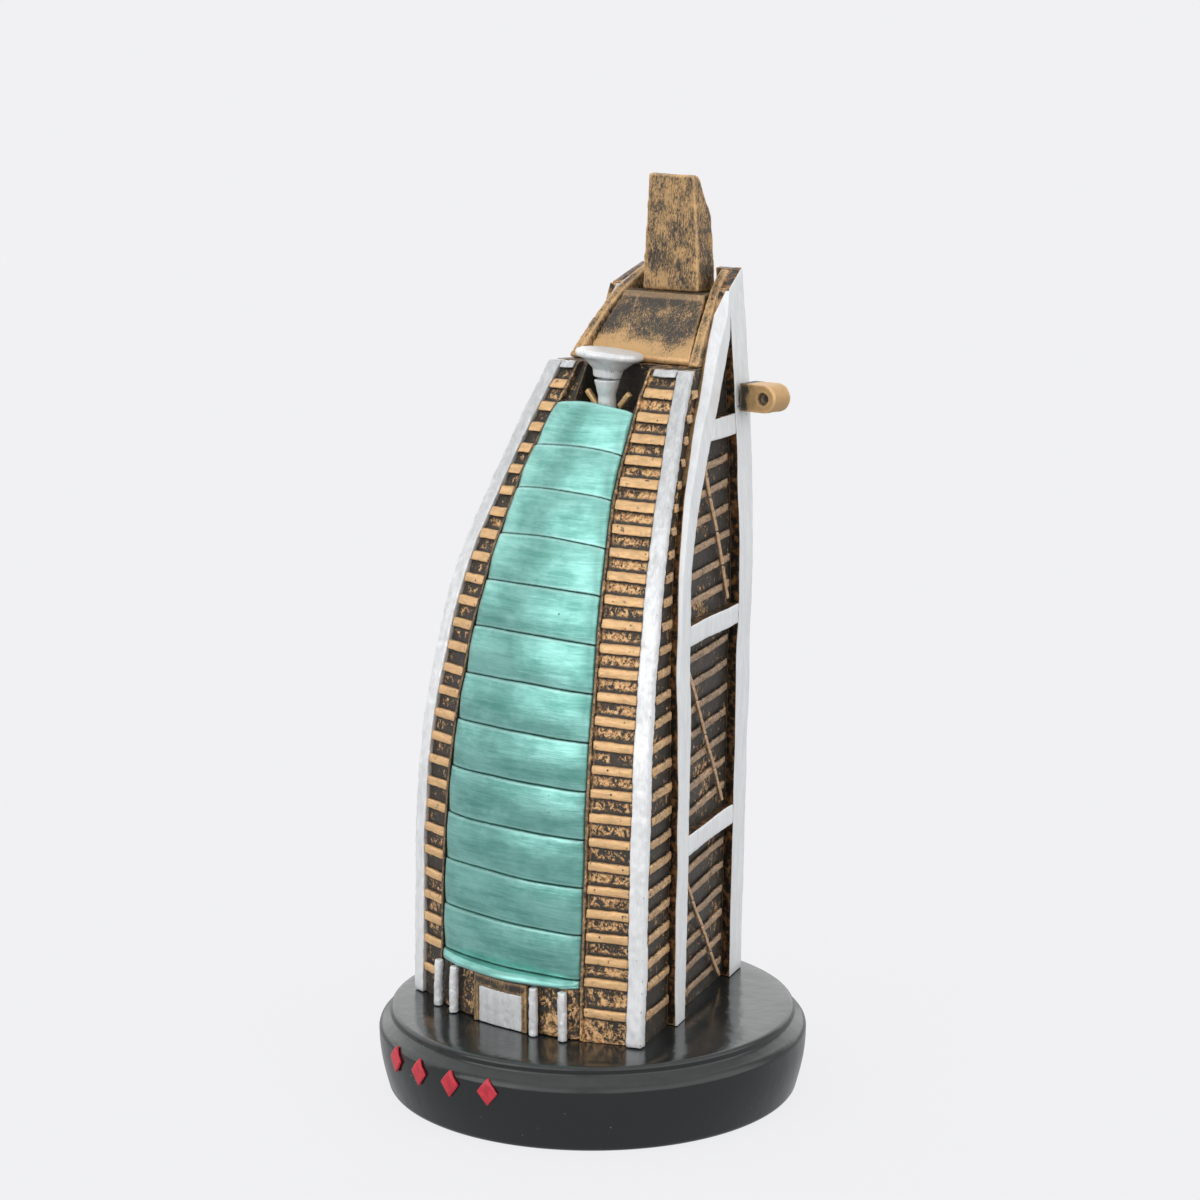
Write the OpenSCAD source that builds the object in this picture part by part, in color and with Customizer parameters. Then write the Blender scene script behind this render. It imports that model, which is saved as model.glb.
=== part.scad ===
// Painted resin tower on a round plinth, a desk souvenir.
// Millimetres, +Z up, front towards -Y, origin at the centre of the plinth's underside.

/* [Plinth] */
// Widest diameter of the plinth
plinth_d = 70; // [62:0.5:90]
// Height of the plinth
plinth_h = 13.6; // [10:0.1:20]
// How much narrower the foot is than the widest ring, on the radius
foot_inset = 1.4; // [0.5:0.1:3]
// How much narrower the top lip is than the widest ring, on the radius
lip_inset = 2; // [1.2:0.1:3]
// Height of the shoulder, the groove and the lip together
shoulder_h = 3.7; // [2.5:0.1:5]
// Width of the bare ring round the felt pad
felt_inset = 4.1; // [2:0.1:10]
// Thickness of the felt pad
felt_t = 0.8; // [0.5:0.1:2]

/* [Plinth motifs] */
// Number of raised lozenges
motif_n = 4; // [1:1:6]
// Width of one lozenge
motif_w = 3.6; // [2:0.1:4.5]
// Height of one lozenge
motif_h = 4.5; // [2:0.1:5]
// How far a lozenge stands out
motif_t = 0.6; // [0.3:0.05:1]
// Angle between two lozenges
motif_pitch = 11.7; // [9:0.1:15]

/* [Tower] */
// Height of the ribbed front above the plinth
facade_h = 103.4; // [90:0.1:130]
// Width across the two front corners at the foot
facade_w = 47.7; // [42:0.1:54]
// Depth from the front corners to the back at the foot
tower_d = 43.5; // [38:0.1:50]
// Width across the back legs where it is typical
back_w = 24; // [20:0.1:29]
// Height of the side plates' crest above the ribbed front
crest_h = 15; // [10:0.1:20]
// How far the tower's back stands behind the plinth's axis
tower_back = 29; // [25:0.1:31]
// How far the tower stands left of the plinth's axis
tower_left = 2.4; // [0:0.1:4]

/* [Front] */
// Height of the entrance storey
entrance_h = 8.1; // [6:0.1:10]
// Width of the door
door_w = 9; // [5:0.1:10]
// Height of the wall above the door
lintel_h = 2; // [1:0.1:3]
// Diameter of the entrance pillars
pillar_d = 1.5; // [0.8:0.05:2]
// Height of the sill under the first band
sill_h = 1.5; // [1:0.1:3]
// Height of the open corner above the last band, behind the helipad
recess_h = 7.2; // [4:0.1:9]
// Depth of that open corner
recess_d = 6.7; // [4:0.1:8]
// Depth from the front trims' faces to the core
trim_depth = 1.3; // [1:0.05:1.8]
// Thickness of the backing panels
panel_t = 0.45; // [0.3:0.05:0.7]
// Height of one rib
rib_h = 1.4; // [0.8:0.05:2]
// Width of the silver corner strips
strip_w = 2.6; // [1.5:0.1:3.5]

/* [Atrium bands] */
// How much higher the bands above the middle sit than equal ones would
band_lift = 1.85; // [0:0.05:2.5]
// How far a band bows out at its middle
band_bow = 1.8; // [0.5:0.1:3]
// Thickness of a band at its lower edge
band_t = 1.5; // [1:0.05:2.2]
// How much thicker a band is at its upper edge
band_step = 0.35; // [0:0.05:0.6]
// Swell of a band between its edges
band_swell = 0.35; // [0:0.05:0.8]
// How far the sill bows out at its middle
sill_bow = 3.6; // [1:0.1:5]
// How far the entrance wall bows out at its middle
wall_bow = 2.3; // [0.5:0.1:4]

/* [Side frames] */
// How far the white frames stand out from the core
frame_t = 2; // [1.2:0.1:3]
// Width of the back legs
back_leg_w = 5.9; // [4:0.1:7]
// Height of a cross beam
beam_h = 3.3; // [2:0.1:5]
// Thickness of the lattice bars in the bays
bar_t = 0.7; // [0.4:0.05:1]
// Thickness of the braces on the bars
brace_t = 0.4; // [0.3:0.05:0.6]

/* [Top] */
// Height of the mast block above the roof
mast_h = 18.9; // [12:0.1:26]
// Width of the mast block at its foot
mast_w = 11.6; // [8:0.1:13]
// Width of the mast block at its top
mast_top_w = 9.2; // [6:0.1:11]
// Depth of the mast block
mast_d = 4.6; // [3:0.1:5]
// Diameter of the helipad
pad_d = 11.2; // [8:0.1:14]
// Height of the helipad above the ribbed front
pad_rise = 2; // [1.6:0.1:4]
// Height of the helipad's dish
dish_h = 4.3; // [3:0.1:5]
// Diameter of the helipad's stem at its foot
stem_d = 3.2; // [2.4:0.1:4]
// Sideways lean of the helipad
pad_lean = 6; // [0:0.5:8]
// Length of a lug out of the back leg
lug_l = 7.2; // [5:0.1:10]
// Height of a lug
lug_h = 4.7; // [3:0.1:6]
// Diameter of the bar that carries the lugs
cross_bar_d = 2.6; // [2:0.1:3.2]

/* [Fits] */
// Glue line between pieces that seat on each other
seat = 0.05; // [0.03:0.01:0.1]
// Clearance of pegs and tenons, all round
fit = 0.15; // [0.1:0.01:0.3]

/* [Hidden] */
$fn = 64;
ring_fn = 180;                            // facets of the plinth's round

BRONZE = [0.78, 0.58, 0.36];
DARK_BRONZE = [0.28, 0.23, 0.18];
SILVER = [0.80, 0.81, 0.82];
WHITE = [0.92, 0.93, 0.94];
TEAL = [0.38, 0.70, 0.64];
BLACK = [0.16, 0.17, 0.17];
RED = [0.82, 0.16, 0.22];

// Stations up the tower: share of facade_h, and what each curve is there.
STATION = [0, 0.35, 0.55, 0.70, 0.85, 1, 1.15];
FRONT_WIDTH = [1, 0.998, 0.941, 0.866, 0.740, 0.608, 0.47];   // of facade_w
SETBACK = [0, 0.032, 0.101, 0.200, 0.360, 0.556, 0.80];       // of tower_d
BACK_WIDTH = [0.95, 1, 1.05, 1.075, 1.05, 0.96, 0.85];        // of back_w
LEG_FRONT = [0.726, 0.726, 0.722, 0.683, 0.547, 0.324, 0.094]; // of tower_d, from the back
LEG_BACK = [0.634, 0.625, 0.614, 0.595, 0.432, 0.205, 0.02];  // of tower_d, from the back
ATRIUM_WIDTH = [0.625, 0.604, 0.558, 0.486, 0.394, 0.300, 0.30]; // of facade_w
ATRIUM_LEFT = [1.15, 0.7, 0.9, 1.4, 2.2, 1.0, 0.5];           // mm left of the middle
PANEL_TURN = [17, 15, 12, 8, 4, 0.6, 0.6];                    // degrees

band_n = 12;                              // glazed bands, two ribs to each
corner_proud = 0.3;                       // corner strips beyond the core's side
panel_edge = 0.5;                         // flange of a backing panel beside the atrium
proud = 0.1;                              // silver strips in front of the ribs
top_z = plinth_h + facade_h;              // top of the ribbed front
sill_z = plinth_h + entrance_h;
band_z = sill_z + sill_h;                 // foot of the first band
recess_z = top_z - recess_h;              // top of the last band
band_pitch = (recess_z - band_z) / band_n;
rib_pitch = band_pitch / 2;
plate_t = 2.2;                            // side plates beside the roof
skin = 1.2;                               // legs behind the core's back face
leg_wrap = 3;                             // how far a back leg reaches round the core's back
core_back = tower_back - skin;
core_levels = 26;
peg_d = 6;
peg_depth = 6;
crest_curve = 1.58;                       // how early the plates' crest rises
roof_foot = 0.9;                          // thickness of the roof at its front edge
roof_rise = 10.1;                         // from the roof's front edge to the mast block's foot
roof_bulge = 0.08;                        // crown of the roof between the two, a share of its rise
ledge_d = 2;                              // depth of the ledge in front of the mast block
ledge_step = 0.8;                         // height of the step at the ledge's front
mast_y = tower_back - skin - mast_d;      // front face of the mast block

function lerp(a, b, k) = a + (b - a) * k;
function flip(s, ring) = s > 0 ? ring : [for (i = [len(ring) - 1 : -1 : 0]) ring[i]];
function levels(a, b, n) = [for (i = [0 : n]) lerp(a, b, i / n)];

// Smooth curve through the values V at the stations.
function span(t, i = 0) = i == len(STATION) - 2 || t < STATION[i + 1] ? i : span(t, i + 1);
function slope(V, i) =
    let (a = max(i - 1, 0), b = min(i + 1, len(V) - 1)) (V[b] - V[a]) / (STATION[b] - STATION[a]);
function at(V, z) =
    let (t = (z - plinth_h) / facade_h, i = span(t), h = STATION[i + 1] - STATION[i],
         u = (t - STATION[i]) / h, m = slope(V, i) * h, n = slope(V, i + 1) * h, d = V[i + 1] - V[i])
    V[i] + u * (m + u * (3 * d - 2 * m - n + u * (m + n - 2 * d)));

function half_w(z) = facade_w / 2 * at(FRONT_WIDTH, z);
function front_y(z) = tower_back - tower_d * (1 - at(SETBACK, z));
function from_back(V, z) = tower_back - tower_d * at(V, z);
function lean(z) = atan((front_y(z + 1) - front_y(z - 1)) / 2);

// Core's side wall: the distance from the middle plane at depth y and height z.
function wall_x(y, z) =
    let (w = half_w(z) - corner_proud, r = back_w / 2 * at(BACK_WIDTH, z) - frame_t)
    w + (y - front_y(z)) * (r - w) / (tower_back - front_y(z));

// Front panels: k runs from the atrium (0) to the corner (1), d stands off the core. s is the side.
function inner_x(s, z) = facade_w / 2 * at(ATRIUM_WIDTH, z) - s * at(ATRIUM_LEFT, z);
function facade_y(x, z) = front_y(z) - (half_w(z) - x) * tan(at(PANEL_TURN, z)) + trim_depth;
function facade_pt(s, k, d, z) =
    let (x = lerp(inner_x(s, z), half_w(z), k)) [s * x, facade_y(x, z) - d, z];
function panel_w(s, z) = (half_w(z) - inner_x(s, z)) / cos(at(PANEL_TURN, z));

// Atrium: u runs from its left edge (0) to its right edge (1), d stands off the core.
function atrium_pt(u, d, z) =
    let (a = facade_pt(-1, 0, 0, z), b = facade_pt(1, 0, 0, z), p = lerp(a, b, u), f = lean(z))
    [p[0], p[1] - d * cos(f), z + d * sin(f)];
function bow(u) = 1 - pow(2 * u - 1, 2);

// Closed solid through rings of points; each ring runs anticlockwise seen from the last one.
module loft(rings) {
    n = len(rings[0]);
    m = len(rings);
    polyhedron(
        points = [for (r = rings) each r],
        faces = concat(
            [[for (i = [0 : n - 1]) i]],
            [[for (i = [n - 1 : -1 : 0]) (m - 1) * n + i]],
            [for (j = [0 : m - 2], i = [0 : n - 1])
                each [[j * n + i, (j + 1) * n + i, (j + 1) * n + (i + 1) % n],
                      [j * n + i, (j + 1) * n + (i + 1) % n, j * n + (i + 1) % n]]]));
}

module on_tower() {
    translate([-tower_left, 0, 0]) children();
}

// Right-hand piece, or its mirror image on the left.
module sided(s) {
    on_tower() mirror([s < 0 ? 1 : 0, 0, 0]) children();
}

// ---- plinth ----
function arc(cx, cz, r, a0, a1, n = 8) =
    [for (i = [0 : n]) let (a = lerp(a0, a1, i / n)) [cx + r * cos(a), cz + r * sin(a)]];
rim_r = plinth_d / 2;
lip_r = rim_r - lip_inset;
shoulder_z = plinth_h - shoulder_h;
felt_d = plinth_d - 2 * (foot_inset + felt_inset);
foot_round = 1.2;
shoulder_round = 1.6;
lip_round = 0.6;
groove_r = 0.45;
lip_z = plinth_h - 2 * lip_round;

// Half section of the plinth, grown outwards by g.
function plinth_outline(g = 0) = concat(
    [[0, -g]],
    arc(rim_r - foot_inset - foot_round, foot_round, foot_round + g, -90, -10),
    [for (v = [0.3, 0.65]) [rim_r - foot_inset * pow(1 - v, 2) + g, lerp(foot_round, shoulder_z, v)]],
    arc(rim_r - shoulder_round, shoulder_z, shoulder_round + g, -8, 68),
    [[lip_r + groove_r + g, lip_z - groove_r], [lip_r + g, lip_z - groove_r / 2],
     [lip_r + g, lip_z]],
    arc(lip_r - lip_round, plinth_h - lip_round, lip_round + g, -30, 90),
    [[0, plinth_h + g]]);

module plinth() {
    color(BLACK) difference() {
        rotate_extrude($fn = ring_fn) polygon(plinth_outline());
        translate([0, 0, -1]) cylinder(d = felt_d + 2 * fit, h = 1 + felt_t + seat);
        core_pegs(fit);
    }
}

module plinth_felt() {
    color("darkgreen") cylinder(d = felt_d, h = felt_t);
}

module plinth_lozenges() {
    z = shoulder_z - 0.9;
    turn = -6;                            // of the row's middle, to the left of the front
    reach = 4;                            // half the depth that the row is cut from
    color(RED) difference() {
        intersection() {
            union() for (i = [0 : motif_n - 1])
                rotate([0, 0, turn + (i - (motif_n - 1) / 2) * motif_pitch])
                    translate([0, -rim_r + reach, z]) rotate([90, 0, 0])
                        linear_extrude(2 * reach)
                            polygon([[-motif_w / 2, 0], [0, -motif_h / 2], [motif_w / 2, 0],
                                     [0, motif_h / 2]]);
            rotate_extrude($fn = ring_fn) polygon(plinth_outline(motif_t));
        }
        rotate_extrude($fn = ring_fn) polygon(plinth_outline(seat));
    }
}

// ---- tower body ----
module core_pegs(g = 0) {
    on_tower() for (y = [0, 18])
        translate([0, y, plinth_h - peg_depth - g])
            cylinder(d = peg_d + 2 * g, h = peg_depth + g + 0.5);
}

function core_ring(z) =
    let (y = front_y(z) + trim_depth)
    [facade_pt(-1, 0, 0, z), facade_pt(1, 0, 0, z), [wall_x(y, z), y, z],
     [wall_x(core_back, z), core_back, z], [-wall_x(core_back, z), core_back, z],
     [-wall_x(y, z), y, z]];

stem_peg_d = 1.6;
stem_peg_depth = 2;
pad_y = front_y(recess_z) + 3.2;          // depth of the helipad's axis
pad_h = recess_h + pad_rise;              // height of the helipad above the last band
module helipad_axis(z = 0) {
    on_tower() translate([-at(ATRIUM_LEFT, recess_z), pad_y, recess_z + z]) children();
}

module tower_core() {
    lip = 0.8;                            // of the wing tops beside the open corner
    recess_w = inner_x(-1, top_z) + inner_x(1, top_z) - 2 * lip;
    before = 10;
    color(DARK_BRONZE) union() {
        difference() {
            on_tower() loft([for (z = levels(plinth_h + seat, top_z, core_levels)) core_ring(z)]);
            on_tower() translate([lip - inner_x(-1, top_z), front_y(recess_z) - before, recess_z])
                cube([recess_w, before + trim_depth + recess_d, recess_h + 1]);
            bar_hole(fit);
            helipad_axis(-stem_peg_depth - fit)
                cylinder(d = stem_peg_d + 2 * fit, h = stem_peg_depth + recess_h);
        }
        core_pegs();
    }
}

// ---- roof and side plates ----
crest_y = front_y(top_z) + 3.2;           // where the plates' crest starts to rise
function crest_z(y) =
    let (t = (y - crest_y) / (tower_back - crest_y)) top_z + crest_h * (1 - pow(1 - t, crest_curve));
roof_y = pad_y + pad_d / 2 + 0.3;         // front edge of the roof, behind the helipad
function roof_x(y, z) = wall_x(y, z) - plate_t - 2 * seat;
function roof_z(y) =
    let (t = (y - roof_y) / (ledge_y - roof_y))
    top_z + roof_foot + (roof_rise - ledge_step) * t * (1 + roof_bulge * (1 - t));
function roof_ring(y, z) =
    [[-roof_x(y, top_z), y, top_z + seat], [-roof_x(y, z), y, z], [roof_x(y, z), y, z],
     [roof_x(y, top_z), y, top_z + seat]];
ledge_y = mast_y - ledge_d;
mast_z = top_z + roof_foot + roof_rise;   // foot of the mast block

module roof_slope() {
    color(BRONZE) on_tower() difference() {
        loft(concat(
            [for (y = levels(roof_y, ledge_y, 10)) roof_ring(y, roof_z(y))],
            [roof_ring(ledge_y + 0.1, mast_z - 0.2), roof_ring(mast_y, mast_z),
             roof_ring(core_back, mast_z)]));
        mast_tenon(fit);
    }
}

module side_plate(s) {
    taper = 0.5;                          // how much thinner a plate is at its crest
    foot = top_z + seat;
    color(BRONZE) sided(s)
        loft([for (y = levels(crest_y + 0.4, core_back, 14)) let (z = crest_z(y))
            [[wall_x(y, foot) - plate_t, y, foot], [wall_x(y, z) - plate_t + taper, y, z],
             [wall_x(y, z), y, z], [wall_x(y, foot), y, foot]]]);
}

// ---- ribbed front ----
// Height of the joint under band i. Ribs stand at the joints and halfway between them, and one below.
function joint_z(i) =
    let (t = i / band_n, u = min(max(t, 0), 1))
    lerp(band_z, recess_z, t) + band_lift * 5.4 * pow(u, 1.5) * (1 - u);
function rib_zs() =
    concat([band_z - 1.35 * rib_pitch], [for (i = [0 : 2 * band_n + 2]) joint_z(i / 2)]);

module facade_bar(s, zs, k0, k1, d0, d1) {
    loft([for (z = zs) flip(s, [facade_pt(s, k0, d1, z), facade_pt(s, k1, d1, z),
                                facade_pt(s, k1, d0, z), facade_pt(s, k0, d0, z)])]);
}

function strip_k(s, z, w) = 1 - w / panel_w(s, z);

module facade_panel(s) {
    color(DARK_BRONZE) on_tower()
        loft([for (z = levels(plinth_h + 2 * seat, top_z - seat, core_levels))
            let (k = strip_k(s, z, strip_w + seat), e = panel_edge / panel_w(s, z))
            flip(s, [facade_pt(s, seat / 4, trim_depth, z), facade_pt(s, e, trim_depth, z),
                     facade_pt(s, e, panel_t, z), facade_pt(s, k, panel_t, z),
                     facade_pt(s, k, seat, z), facade_pt(s, seat / 4, seat, z)])]);
}

module facade_ribs(s) {
    color(BRONZE) on_tower() for (z = rib_zs())
        if (z + rib_h / 2 < top_z - top_strip_h - 0.2)
            let (k = strip_k(s, z, strip_w + 3 * seat), e = (panel_edge + 3 * seat) / panel_w(s, z))
                facade_bar(s, [z - rib_h / 2, z + rib_h / 2], e, k, panel_t + seat, trim_depth - seat);
}

module corner_strip(s) {
    color(SILVER) on_tower()
        loft([for (z = levels(plinth_h + 2 * seat, top_z - seat, core_levels))
            let (k = strip_k(s, z, strip_w), w = half_w(z), y = front_y(z))
            flip(s, [facade_pt(s, k, trim_depth + proud, z), [s * w, y - proud, z],
                     [s * w, y + trim_depth - seat, z], facade_pt(s, k, seat, z)])]);
}

top_strip_h = 1.1;
module top_strip(s) {
    start = 0.14;                         // of the panel's width, beside the open corner
    color(SILVER) on_tower()
        facade_bar(s, [top_z - top_strip_h, top_z - seat], start,
                   strip_k(s, top_z, strip_w + 3 * seat), panel_t + seat, trim_depth + proud);
}

// ---- atrium ----
// Share of the thickness that is left near a band's two ends.
EDGE = [[0, 0.30], [0.02, 0.72], [0.06, 0.95], [0.14, 1], [0.28, 1], [0.42, 1]];
edge_rows = concat(EDGE, [[0.5, 1]],
                   [for (i = [len(EDGE) - 1 : -1 : 0]) [1 - EDGE[i][0], EDGE[i][1]]]);

// Band between two heights, thickness t(v) at height share v, bowed out by b at its middle.
module band(z0, z1, t0, t1, swell, b, rows = 6) {
    last = len(edge_rows) - 1;
    on_tower() loft([for (j = [0 : rows]) let (v = j / rows, z = lerp(z0, z1, v))
        concat([for (e = edge_rows) let (t = lerp(t0, t1, v) + swell * sin(180 * v))
                    atrium_pt(e[0], e[1] * t + b * bow(e[0]), z)],
               [atrium_pt(edge_rows[last][0], seat, z), atrium_pt(0, seat, z)])]);
}

module atrium_band(i) {
    color(TEAL) band(joint_z(i) + seat / 2, joint_z(i + 1) - seat / 2,
                     band_t, band_t + band_step, band_swell, band_bow);
}

module atrium_sill() {
    foot_t = band_t + 0.6;
    head_t = band_t + 0.1;
    color(TEAL) band(sill_z + seat / 2, band_z - seat / 2, foot_t, head_t, band_swell, sill_bow, 4);
}

module entrance_wall() {
    color(DARK_BRONZE) band(plinth_h + 2 * seat, sill_z - seat, band_t, band_t, 0, wall_bow, 2);
}

// Plan of a piece on the entrance wall, from x0 to x1 across it and d0 to d1 off its face.
function wall_across(share) = lerp(-inner_x(-1, plinth_h), inner_x(1, plinth_h), share);
function wall_share(x) = (x - wall_across(0)) / (wall_across(1) - wall_across(0));
function wall_pt(x, d) =
    let (u = wall_share(x), p = atrium_pt(u, band_t + wall_bow * bow(u) + d, plinth_h)) [p[0], p[1]];
function wall_plan(x0, x1, d0, d1, n = 8) =
    concat([for (x = levels(x0, x1, n)) wall_pt(x, d1)], [for (x = levels(x1, x0, n)) wall_pt(x, d0)]);

wall_foot = plinth_h + 2 * seat;
door_mid = wall_across(0.53);
door_x0 = door_mid - door_w / 2;
door_x1 = door_mid + door_w / 2;
door_top = sill_z - lintel_h;
door_t = 0.7;
jamb_w = 1;
jamb_t = 0.9;
wall_seat = 0.1;                          // glue line on the bowed wall

module door() {
    color(SILVER) on_tower() translate([0, 0, wall_foot]) linear_extrude(door_top - wall_foot)
        polygon(wall_plan(door_x0, door_x1, wall_seat, door_t));
}

module door_frame() {
    out = jamb_w + seat;
    color(BRONZE) on_tower() difference() {
        translate([0, 0, wall_foot]) linear_extrude(sill_z - 2 * seat - wall_foot)
            polygon(wall_plan(door_x0 - out, door_x1 + out, wall_seat, jamb_t));
        translate([door_x0 - seat, -2 * tower_d, 0]) cube([door_w + 2 * seat, 4 * tower_d, door_top + seat]);
    }
}

PILLARS = [0.035, 0.18, 0.762, 0.937];    // shares of the wall's width
module entrance_pillars() {
    color(SILVER) on_tower() for (k = PILLARS) {
        p = wall_pt(wall_across(k), wall_seat + pillar_d / 2 + seat);
        translate([p[0], p[1], wall_foot])
            cylinder(d = pillar_d, h = sill_z - 3 * seat - wall_foot, $fn = 32);
    }
}

// ---- side frames ----
leg_y = tower_back - back_leg_w;          // front face of the back legs
BEAM_Z = [0.277, 0.605, 0.906];           // of facade_h, the middle of each cross beam

// Bevel along a front leg's outer front edge, which widens towards the top.
function leg_bevel(z) = lerp(0.35, 1.5, pow(max(0, (z - plinth_h) / facade_h), 4));

module front_leg(s) {
    tip = 0.8;                            // thickness left at the very top
    end_z = top_z + crest_h * 0.78;
    color(WHITE) sided(s)
        loft([for (z = levels(plinth_h + 2 * seat, end_z, core_levels + 4))
            let (a = min(from_back(LEG_FRONT, z), leg_y - tip),
                 b = min(from_back(LEG_BACK, z), leg_y - seat), c = min(leg_bevel(z), (b - a) * 0.6))
            [[wall_x(a, z) + seat, a, z], [wall_x(a, z) + frame_t - c, a, z],
             [wall_x(a + c, z) + frame_t, a + c, z], [wall_x(b, z) + frame_t, b, z],
             [wall_x(b, z) + seat, b, z]]]);
}

function back_leg_ring(z) =
    let (i = wall_x(core_back, z) - leg_wrap)
    [[wall_x(leg_y, z) + seat, leg_y, z], [wall_x(leg_y, z) + frame_t, leg_y, z],
     [wall_x(tower_back, z) + frame_t, tower_back, z], [i, tower_back, z],
     [i, core_back + seat, z], [wall_x(core_back, z) + seat, core_back + seat, z]];

module back_leg(s) {
    last_z = top_z + crest_h * 0.7;
    head = [for (p = back_leg_ring(top_z + crest_h * 0.9)) [p[0], p[1], crest_z(p[1])]];
    color(WHITE) difference() {
        sided(s) loft(concat(
            [for (z = levels(plinth_h + 2 * seat, last_z, core_levels)) back_leg_ring(z)], [head]));
        bar_hole(fit);
    }
}

// Flat piece on the side wall with the outline q of [y, z] points.
module side_piece(q, d0, d1) {
    loft([for (d = [d0, d1]) [for (p = q) [wall_x(p[0], p[1]) + d, p[0], p[1]]]]);
}

module cross_beams(s) {
    color(WHITE) sided(s) for (k = BEAM_Z) {
        z0 = plinth_h + facade_h * k - beam_h / 2;
        z1 = z0 + beam_h;
        side_piece([[from_back(LEG_BACK, z0) + seat, z0], [leg_y - seat, z0],
                    [leg_y - seat, z1], [from_back(LEG_BACK, z1) + seat, z1]], seat, frame_t - seat);
    }
}

// Bays between the beams: foot and head of each, and its number of lattice bars.
bay_zs = concat([plinth_h - beam_h / 2], [for (k = BEAM_Z) plinth_h + facade_h * k]);
bar_pitch = rib_pitch * 1.15;
bar_h = 1.25;
bar_drop = 1.6;                           // how far a bar falls towards the front
bay_clear = 1.2;                          // bars and braces from the beams
function bay_bars_z(i) =
    let (a = bay_zs[i] + beam_h / 2 + bar_drop / 2 + bay_clear + 0.9,
         b = bay_zs[i + 1] - beam_h / 2 - bar_h)
    [for (z = [a : bar_pitch : b]) z];

module bay_bars(s) {
    gap = 1.5;                            // dark band beside the back leg
    color(BRONZE) sided(s) for (i = [0 : len(bay_zs) - 2], z = bay_bars_z(i)) {
        y0 = from_back(LEG_BACK, z) + 0.3;
        y1 = leg_y - gap;
        side_piece([[y0, z - bar_drop / 2], [y1, z], [y1, z + bar_h], [y0, z + bar_h - bar_drop / 2]],
                   2 * seat, bar_t);
    }
}

// A brace crosses its bay in short straight stretches, so that it follows the wall.
module bay_braces(s) {
    w = 1;
    n = 4;
    color(BRONZE) sided(s) for (i = [0 : len(bay_zs) - 2]) {
        z0 = bay_zs[i] + beam_h / 2 + bay_clear;
        z1 = bay_zs[i + 1] - beam_h / 2 - 2.5 * bay_clear;
        y0 = from_back(LEG_BACK, z1) + w;
        y1 = leg_y - 2.6 * w;
        for (k = [0 : n - 1]) {
            a = lerp(z0, z1, k / n);
            b = lerp(z0, z1, (k + 1) / n) - 4 * seat;
            ya = lerp(y1, y0, k / n);
            yb = lerp(y1, y0, (k + 1) / n);
            side_piece([[ya - w, a], [ya, a], [yb, b], [yb - w, b]],
                       bar_t + 2 * seat, bar_t + brace_t + seat);
        }
    }
}

module side_ribs(s) {
    color(BRONZE) sided(s) for (z = rib_zs())
        if (z + rib_h / 2 < top_z - top_strip_h) {
            z0 = z - rib_h / 2;
            z1 = z + rib_h / 2;
            y0 = front_y(z1) + trim_depth + 2 * seat;
            y1 = from_back(LEG_FRONT, z0) - 0.5;
            side_piece([[y0, z0], [y1, z0], [y1, z1], [y0, z1]], 2 * seat, bar_t);
        }
}

// ---- back ----
function back_half(z) = wall_x(core_back, z) - leg_wrap - seat;

module back_piece(zs, inset, d0, d1) {
    y0 = core_back + d0;
    y1 = core_back + d1;
    on_tower() loft([for (z = zs) let (x = back_half(z) - inset)
        [[-x, y0, z], [x, y0, z], [x, y1, z], [-x, y1, z]]]);
}

module back_panel() {
    zs = levels(plinth_h + 2 * seat, mast_z, core_levels);
    color(DARK_BRONZE) back_piece(zs, 0, seat, panel_t);
}

module back_ribs() {
    color(BRONZE) for (z = [rib_zs()[0] : rib_pitch : mast_z - rib_h])
        back_piece([z - rib_h / 2, z + rib_h / 2], seat, panel_t + seat, skin - 4 * seat);
}

// ---- mast block ----
module mast_tenon(g = 0) {
    w = 6;
    d = 2;
    depth = 3;
    translate([-w / 2 - g, mast_y + (mast_d - d) / 2 - g, mast_z - depth - g])
        cube([w + 2 * g, d + 2 * g, depth + g + 0.2]);
}

module mast_block() {
    chamfer_d = mast_d - 1.4;
    chamfer_h = mast_h * 0.36;
    top = mast_z + mast_h;
    color(BRONZE) on_tower() {
        intersection() {
            translate([mast_w, 0, 0]) rotate([90, 0, -90]) linear_extrude(2 * mast_w)
                polygon([[-mast_y, mast_z + seat], [-mast_y - mast_d, mast_z + seat],
                         [-mast_y - mast_d, top - chamfer_h], [-mast_y - mast_d + chamfer_d, top],
                         [-mast_y, top]]);
            translate([0, mast_y + 2 * mast_d, 0]) rotate([90, 0, 0]) linear_extrude(3 * mast_d)
                polygon([[-mast_w / 2, mast_z], [mast_w / 2, mast_z], [mast_top_w / 2, top],
                         [-mast_top_w / 2, top]]);
        }
        mast_tenon();
    }
}

// ---- lugs ----
lug_z = plinth_h + facade_h * BEAM_Z[2] + (beam_h + lug_h) / 2 + 0.2;
lug_d = 4.4;                              // front to back
lug_y = tower_back - 0.6 - lug_d / 2;
lug_x = wall_x(leg_y, lug_z) + frame_t + 2 * seat;
bar_end = lug_x + 2.5;                    // the bar reaches this far into a lug
dimple_d = 1.9;
dimple_depth = 0.9;

module bar_hole(g = 0) {
    on_tower() translate([0, lug_y, lug_z]) rotate([0, 90, 0])
        cylinder(d = cross_bar_d + 2 * g, h = 2 * bar_end + 2 * g, center = true, $fn = 40);
}

module cross_bar() {
    color(DARK_BRONZE) bar_hole();
}

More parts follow.
